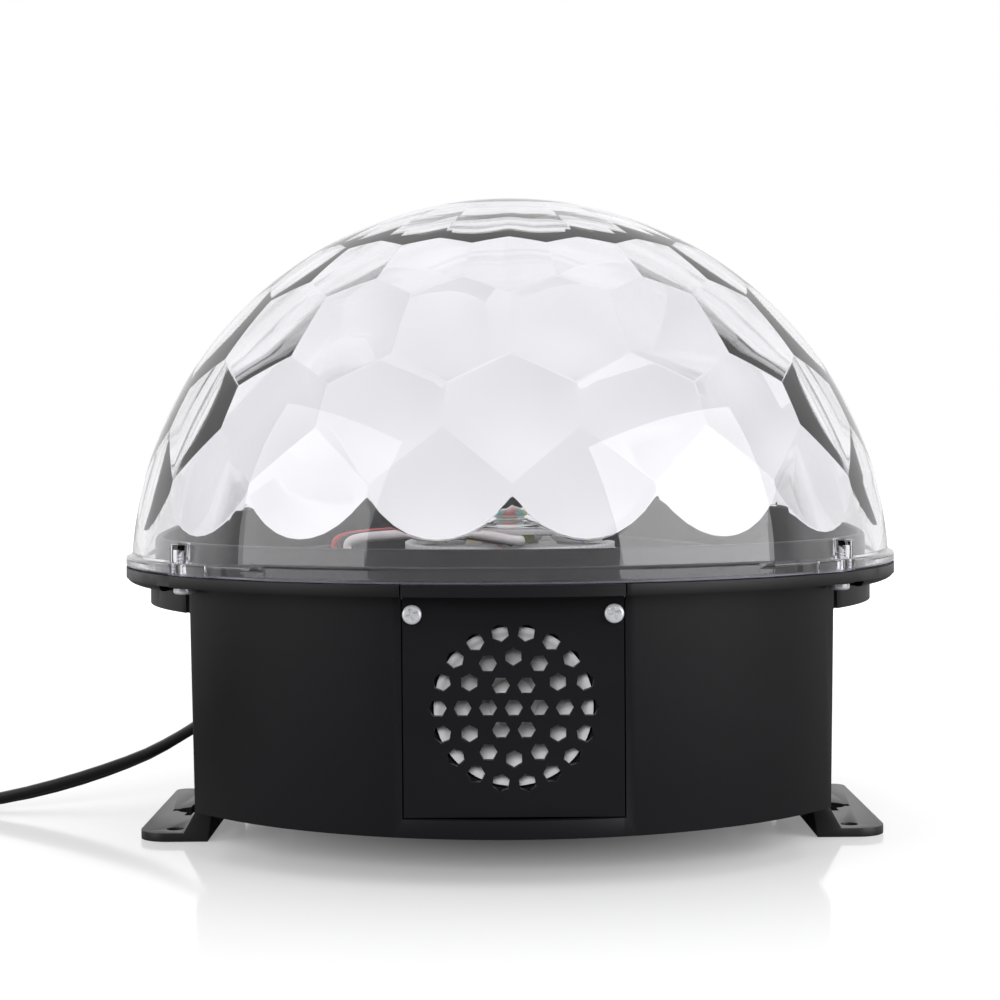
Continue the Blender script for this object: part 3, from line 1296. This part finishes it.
def led_head():
    sink_low = TABLE_BOTTOM + TABLE_THICK + GAP
    sink_top = sink_low + SINK_THICK
    outline = []
    for k in range(SINK_TEETH * 4):
        radius = SINK_RADIUS if k % 4 < 2 else SINK_RADIUS - SINK_TOOTH
        angle = math.tau * k / (SINK_TEETH * 4)
        outline.append((radius * math.cos(angle), radius * math.sin(angle)))
    sink = extruded("heat_sink", outline, sink_low, sink_top, "aluminium")
    cut(sink, clip_holes("sink_holes", sink_low, sink_top))
    board_low = sink_top + GAP
    board_top = board_low + LED_BOARD_THICK
    ends = [((0, 0, board_low), (0, 0, board_top))]
    board = rods("led_board", LED_BOARD_RADIUS, ends, "white_board", sides=MIDDLE_STEPS)
    cut(board, clip_holes("led_board_holes", board_low, board_top))
    emitters, domes = bmesh.new(), bmesh.new()
    half = EMITTER_SIDE / 2
    low = board_top - GAP
    for x, y in [(0, 0)] + around(LENS_COUNT, LENS_RING):
        add_box(emitters, (x - half, y - half, low), (x + half, y + half, board_top + EMITTER_HIGH))
        foot_z = board_top + EMITTER_HIGH - GAP
        top_z = board_top + EMITTER_HIGH + EMITTER_DOME_HIGH
        add_rod(domes, EMITTER_DOME, (x, y, foot_z), (x, y, top_z), SMALL_STEPS, EMITTER_DOME_TOP)
    join(board, from_bmesh("emitters", emitters), from_bmesh("emitter_domes", domes))
    holder_top = HOLDER_BOTTOM + HOLDER_THICK
    ends = [((0, 0, HOLDER_BOTTOM), (0, 0, holder_top))]
    holder = rods("lens_holder", HOLDER_RADIUS, ends, "clear_ps", sides=MIDDLE_STEPS)
    wells = bmesh.new()
    low, high = HOLDER_BOTTOM - OVERRUN, holder_top + OVERRUN
    add_rod(wells, CENTRE_LENS_RADIUS - LENS_SHOULDER + GAP, (0, 0, low), (0, 0, high), LENS_SIDES)
    for x, y in around(LENS_COUNT, LENS_RING):
        add_rod(wells, LENS_RADIUS - LENS_SHOULDER + GAP, (x, y, low), (x, y, high), LENS_SIDES)
    cut(holder, from_bmesh("lens_wells", wells))
    legs, pins = bmesh.new(), bmesh.new()
    for x, y in around(CLIP_COUNT, CLIP_RING, 90):
        add_rod(legs, HOLDER_LEG, (x, y, board_top + GAP), (x, y, HOLDER_BOTTOM + GAP), 12)
        add_rod(pins, CLIP_PIN, (x, y, TABLE_BOTTOM + GAP), (x, y, HOLDER_BOTTOM), 12)
    join(holder, from_bmesh("holder_legs", legs), from_bmesh("holder_pins", pins))
    seat = holder_top + GAP
    lens("centre_lens", 0, 0, CENTRE_LENS_RADIUS, "clear_ps")
    edge = [
        (LENS_WEB_RADIUS, seat + LENS_EDGE),
        (LENS_WEB_RADIUS, seat),
        (CENTRE_LENS_RADIUS + GAP, seat),
        (CENTRE_LENS_RADIUS + GAP, seat + LENS_EDGE),
    ]
    web = turned("lens_array", edge, MIDDLE_STEPS, "clear_ps", ring=True)
    for k, (x, y) in enumerate(around(LENS_COUNT, LENS_RING)):
        join(web, lens(f"lens_{k}", x, y, LENS_RADIUS))


def lens(name, x, y, radius, finish=None):
    # A bullet in the holder's hole, with an edge that rests on it and a crown above
    seat = HOLDER_BOTTOM + HOLDER_THICK + GAP
    neck = radius - LENS_SHOULDER
    foot = HOLDER_BOTTOM - GAP
    profile = [(0, seat + LENS_EDGE + LENS_HIGH)]
    for k in range(1, LENS_CROWN_STEPS + 1):
        angle = HALF_PI * k / LENS_CROWN_STEPS
        profile.append((radius * math.sin(angle), seat + LENS_EDGE + LENS_HIGH * math.cos(angle)))
    profile += [
        (radius, seat),
        (neck, seat),
        (neck * LENS_FOOT_SHARE, foot),
        (0, foot),
    ]
    made = turned(name, profile, LENS_SIDES, finish)
    made.location = (x, y, 0)
    return made


def head_wires():
    # Three leads from the board's front edge, over in an arch, to a connector on the turntable
    top = TABLE_BOTTOM + TABLE_THICK + GAP
    x, y = (TABLE_RADIUS * share for share in CONNECTOR_SHARES)
    wide, deep, high = CONNECTOR_SIZE
    plug = boxes(
        "wire_connector", [((-wide / 2, -deep / 2, 0), (wide / 2, deep / 2, high))], "white_pvc"
    )
    plug.location = (x, y, top)
    plug.rotation_euler = (0, 0, CONNECTOR_TURN)
    across = Vector((math.cos(CONNECTOR_TURN), math.sin(CONNECTOR_TURN), 0))
    board_top = TABLE_BOTTOM + TABLE_THICK + GAP + SINK_THICK + GAP + LED_BOARD_THICK
    on_board = board_top + GAP + WIRE_RADIUS
    for k, (name, finish) in enumerate(
        (("red_wire", "red_pvc"), ("black_wire", "black_pvc"), ("white_wire", "white_pvc"))
    ):
        shift = (k - 1) * WIRE_PITCH
        start = Vector((x, y, top + high + 2 * GAP)) + across * shift
        end = Vector((shift, -(LED_BOARD_RADIUS - WIRE_RADIUS), on_board))
        route = [
            start,
            start + Vector((WIRE_RADIUS / 4, 0, WIRE_PITCH)),
            start.lerp(end, ARCH_SHARE) + Vector((0, -WIRE_PITCH - shift, WIRE_ARCH)),
            start.lerp(end, 2 * ARCH_SHARE) + Vector((0, -2 * WIRE_PITCH - shift / 2, WIRE_ARCH)),
            end + Vector((-WIRE_PITCH, -3 * WIRE_PITCH - shift, WIRE_RADIUS)),
            end + Vector((0, -WIRE_PITCH, WIRE_RADIUS / 2)),
            end,
        ]
        points = smooth_route(route, 2)
        tube(name, points, 2 * WIRE_RADIUS, 2 * WIRE_RADIUS, [0] * len(points), finish, 1)


# Bottom cover and supply

def bottom_cover():
    half = SIDE_BOTTOM_X - WALL - GAP
    cover_top = BODY_BOTTOM + COVER_THICK
    cover = rods(
        "bottom_cover",
        COLLAR_INNER - GAP,
        [((0, 0, BODY_BOTTOM), (0, 0, cover_top))],
        "black_abs",
        sides=ROUND_STEPS,
    )
    reach = BAND_RADIUS
    keep_inside(cover, boxes("cover_sides", [((-half, -reach, 0), (half, reach, DRUM_BOTTOM))]))
    posts, pins, holes = bmesh.new(), bmesh.new(), bmesh.new()
    pin_top = SUPPLY_Z + BOARD_THICK + BOARD_PIN_PROUD
    for x, y in supply_posts():
        add_rod(posts, SUPPLY_POST_RADIUS, (x, y, cover_top - GAP), (x, y, SUPPLY_Z - GAP))
        add_rod(pins, BOARD_PIN, (x, y, cover_top), (x, y, pin_top))
    for x, y in corners_of(POST_X, POST_Y):
        add_rod(holes, SCREW_RADIUS + GAP, (x, y, BODY_BOTTOM - OVERRUN), (x, y, cover_top + OVERRUN))
    join(cover, from_bmesh("cover_posts", posts), from_bmesh("cover_pins", pins))
    cut(cover, from_bmesh("cover_holes", holes))


def supply_posts():
    low_x, low_y = (side + SUPPLY_POST_IN for side in SUPPLY_LOW)
    high_x, high_y = (side - SUPPLY_POST_IN for side in SUPPLY_HIGH)
    return [(x, y) for x in (low_x, high_x) for y in (low_y, high_y)]


def on_supply_board(place_share):
    return [low + (high - low) * share for low, high, share in zip(SUPPLY_LOW, SUPPLY_HIGH, place_share)]


def supply():
    board_top = SUPPLY_Z + BOARD_THICK
    board = boxes("power_board", [((*SUPPLY_LOW, SUPPLY_Z), (*SUPPLY_HIGH, board_top))], "green_board")
    ends = [((x, y, SUPPLY_Z - OVERRUN), (x, y, board_top + OVERRUN)) for x, y in supply_posts()]
    cut(board, rods("power_board_holes", BOARD_PIN + GAP, ends))
    x, y = on_supply_board(CORE_PLACE_SHARE)
    long, deep, high = CORE_SIZE
    low = board_top + GAP
    core = boxes(
        "transformer_core",
        [((x - long / 2, y - deep / 2, low), (x + long / 2, y + deep / 2, low + high))],
        "ferrite",
    )
    leg = CORE_LEG / 2
    windows = []
    for span in ((x - leg - CORE_WINDOW, x - leg), (x + leg, x + leg + CORE_WINDOW)):
        windows.append(
            (
                (span[0], y - deep / 2 - OVERRUN, low + CORE_YOKE),
                (span[1], y + deep / 2 + OVERRUN, low + high - CORE_YOKE),
            )
        )
    cut(core, boxes("core_windows", windows))
    half_x = leg + CORE_WINDOW - GAP
    half_y = deep / 2 + WINDING_OVERHANG
    winding = boxes(
        "transformer_winding",
        [
            (
                (x - half_x, y - half_y, low + CORE_YOKE + GAP),
                (x + half_x, y + half_y, low + high - CORE_YOKE - GAP),
            )
        ],
        "copper",
    )
    hollow = ((x - leg - GAP, y - deep / 2 - GAP, low), (x + leg + GAP, y + deep / 2 + GAP, low + high))
    cut(winding, boxes("winding_hollow", [hollow]))
    cans = bmesh.new()
    for place, (radius, tall) in zip(CAPACITOR_PLACE_SHARES, CAPACITOR_SIZES):
        x, y = on_supply_board(place)
        add_rod(cans, radius, (x, y, board_top - GAP), (x, y, board_top + tall), 20)
    join(board, from_bmesh("capacitors", cans))


# Foot brackets

def foot(name, side):
    section = [
        (FOOT_TIP_X, 0),
        (FOOT_TIP_X, FOOT_THICK),
        (FOOT_WEB_X, FOOT_THICK),
        (FOOT_WEB_TOP_X, BODY_BOTTOM - GAP),
        (FOOT_FLANGE_X, BODY_BOTTOM - GAP),
        (FOOT_FLANGE_X, BODY_BOTTOM - GAP - FOOT_THICK),
        (FOOT_WEB_TOP_X - FOOT_THICK - GAP, BODY_BOTTOM - GAP - FOOT_THICK),
        (FOOT_HEEL_X, 0),
    ]
    ends = (FOOT_FRONT_Y - OVERRUN, FOOT_REAR_Y + OVERRUN)
    rings = [[(side * x, y, z) for x, z in section] for y in ends]
    plate = loft(name, rings, "foot_nylon")
    # Plan outline: the corners at the tip are round, and the front one is the rounder
    edge = [(FOOT_FLANGE_X - OVERRUN, FOOT_FRONT_Y)]
    for end, corner in ((FOOT_FRONT_Y, FOOT_FRONT_CORNER), (FOOT_REAR_Y, FOOT_REAR_CORNER)):
        turns = [HALF_PI * k / FOOT_CORNER_STEPS for k in range(FOOT_CORNER_STEPS + 1)]
        arc = []
        for turn in turns:
            reach = corner * (1 - math.cos(turn))
            arc.append((FOOT_TIP_X - corner * (1 - math.sin(turn)), end - math.copysign(reach, end)))
        edge += arc if end < 0 else reversed(arc)
    edge.append((FOOT_FLANGE_X - OVERRUN, FOOT_REAR_Y))
    outline = [(side * x, y) for x, y in edge]
    keep_inside(plate, extruded(name + "_plan", outline, -OVERRUN, BODY_BOTTOM + OVERRUN))
    low, high = -OVERRUN, BODY_BOTTOM + OVERRUN
    holes = bmesh.new()
    for y in (-FOOT_HOLE_Y, FOOT_HOLE_Y):
        add_rod(holes, FOOT_HOLE_RADIUS, (side * FOOT_HOLE_X, y, low), (side * FOOT_HOLE_X, y, high), 20)
    for y in (-POST_Y, POST_Y):
        add_rod(holes, SCREW_RADIUS + GAP, (side * POST_X, y, low), (side * POST_X, y, high))
    cut(plate, from_bmesh(name + "_holes", holes))
    ends = [((side * KEYHOLE_X, 0, low), (side * KEYHOLE_X, 0, high))]
    cut(plate, rods(name + "_keyhole", KEYHOLE_RADIUS, ends, sides=24))
    x, slot = side * KEYHOLE_X, KEYHOLE_SLOT / 2
    for k, (reach_x, reach_y) in enumerate(((KEYHOLE_REACH_X, slot), (slot, KEYHOLE_REACH_Y))):
        arm = boxes(name + f"_slot_{k}", [((x - reach_x, -reach_y, low), (x + reach_x, reach_y, high))])
        cut(plate, arm)
    return plate


def foot_screws():
    # They pass through the foot and the cover into the housing's posts
    seat = BODY_BOTTOM - GAP - FOOT_THICK - GAP
    tip = POST_BOTTOM + SCREW_LONG
    for label, (x, y) in zip(side_names("foot_screw", 4), corners_of(POST_X, POST_Y)):
        screw(label, (x, y, seat), (x, y, tip), SCREW_HEAD, SCREW_HEAD_HIGH, SCREW_RADIUS)


# Cord, gland and plug

def cable_gland():
    wall = side_x(GLAND_Z) + GAP
    inner = wall - WALL - GAP - GAP
    profile = [
        (0, wall + GLAND_FLANGE_THICK + GLAND_NOSE),
        (GLAND_NOSE_TIP, wall + GLAND_FLANGE_THICK + GLAND_NOSE),
        (GLAND_NECK, wall + GLAND_FLANGE_THICK),
        (GLAND_FLANGE, wall + GLAND_FLANGE_THICK),
        (GLAND_FLANGE, wall),
        (GLAND_NECK, wall),
        (GLAND_NECK, inner),
        (GLAND_LIP, inner - GAP),
        (GLAND_NECK, inner - GAP - GLAND_LIP_LONG),
        (GLAND_SLEEVE_TIP, inner - GLAND_SLEEVE),
        (0, inner - GLAND_SLEEVE),
    ]
    made = turned("cable_gland", profile, 16, "black_pvc")
    made.rotation_euler = (0, -HALF_PI, 0)
    made.location = (0, GLAND_Y, GLAND_Z)
    return made


def coil_points():
    # Spirals in on the floor, climbs a layer in the half turn where it reverses, spirals out
    low = CORD_THICK / 2 + CORD_CLEAR
    turns = COIL_TURNS_IN + COIL_TURNS_OUT
    count = round(turns * COIL_POINTS)
    points = []
    for k in range(count + 1):
        turn = turns * k / count
        past = turn - COIL_TURNS_IN
        radius = COIL_OUTER - COIL_PITCH * (COIL_TURNS_IN - abs(past))
        radius -= COIL_DIP * math.exp(-((past / COIL_DIP_TURNS) ** 2))
        climb = min(1.0, max(0.0, past / COIL_CLIMB_TURNS + 0.5))
        height = low + COIL_RISE * climb * climb * (3 - 2 * climb)
        angle = HALF_PI + math.tau * turn
        points.append(
            Vector(
                (COIL_AT[0] + radius * math.cos(angle), COIL_AT[1] + radius * math.sin(angle), height)
            )
        )
    return points


def least_self_gap(points, skip):
    # Clear distance between far-apart stretches of the flat cord, from its section's size
    least = 1.0
    for i, a in enumerate(points):
        for b in points[i + skip :]:
            apart = a - b
            beside = math.hypot(apart.x, apart.y) - CORD_WIDE
            over = abs(apart.z) - CORD_THICK
            least = min(least, max(beside, over))
    return least


def power_cord():
    marks = [Vector((x * MM, y * MM, z * MM, math.radians(turn))) for x, y, z, turn in CORD_ROUTE]
    route = smooth_route(marks, 2)
    places = [mark.xyz for mark in route]
    turns = [mark.w for mark in route]
    tube("power_cord", places, CORD_WIDE, CORD_THICK, turns, "black_pvc", 1)
    points = coil_points()
    points.insert(0, points[0] + Vector((COIL_LEAD_IN, 0, 0)))
    print("least gap of the coil to itself, mm:", round(least_self_gap(points, COIL_POINTS // 2) / MM, 2))
    points += in_metres(TAIL_ROUTE)
    tube("power_cord_coil", points, CORD_WIDE, CORD_THICK, [HALF_PI] * len(points), "black_pvc", 0)
    lead = in_metres(INNER_LEAD_ROUTE)
    wide = 2 * INNER_LEAD_RADIUS
    tube("inner_mains_lead", lead, wide, wide, [0] * len(lead), "black_pvc")


def octagon(size, corner, y, z):
    half_x, half_z = size[0] / 2, size[1] / 2
    cut_x, cut_z = half_x - corner, half_z - corner
    outline = [
        (half_x, -cut_z),
        (half_x, cut_z),
        (cut_x, half_z),
        (-cut_x, half_z),
        (-half_x, cut_z),
        (-half_x, -cut_z),
        (-cut_x, -half_z),
        (cut_x, -half_z),
    ]
    return [(PLUG_X + x, y, z + dz) for x, dz in outline]


def plug():
    middle = PLUG_BODY_SIZE[1] / 2
    relief_end = PLUG_START_Y - PLUG_RELIEF
    body_end = relief_end - PLUG_BODY_LONG
    shoulder = relief_end - PLUG_CORNER * 2
    corner = PLUG_RELIEF_SIZE[1] / 4
    body = loft(
        "plug_body",
        [
            octagon(PLUG_RELIEF_SIZE, corner, PLUG_START_Y, middle),
            octagon(PLUG_NECK_SIZE, corner * 2, relief_end, middle),
            octagon(PLUG_BODY_SIZE, PLUG_CORNER, shoulder, middle),
            octagon(PLUG_BODY_SIZE, PLUG_CORNER, body_end, middle),
        ],
        "black_pvc",
    )
    thick, long, high = BLADE_SIZE
    start = body_end - GAP
    places = (PLUG_X - BLADE_SPACING / 2, PLUG_X + BLADE_SPACING / 2)
    for label, x in zip(side_names("plug_blade", 2), places):
        corner = (x - thick / 2, start - long, middle - high / 2)
        far = (x + thick / 2, start, middle + high / 2)
        boxes(label, [(corner, far)], "brass")
    return body


base_housing()
speaker_panel()
insert_screws("speaker_panel_screws", -1)
loudspeaker()
rear_panel()
insert_screws("rear_panel_screws", 1)
control_parts()
power_switch()
crystal_dome()
dome_screws()
deck_plate()
motor()
turntable()
led_head()
head_wires()
bottom_cover()
supply()
foot("left_foot", -1)
foot("right_foot", 1)
foot_screws()
cable_gland()
power_cord()
plug()
for piece in LAMP.objects:
    smooth(piece)
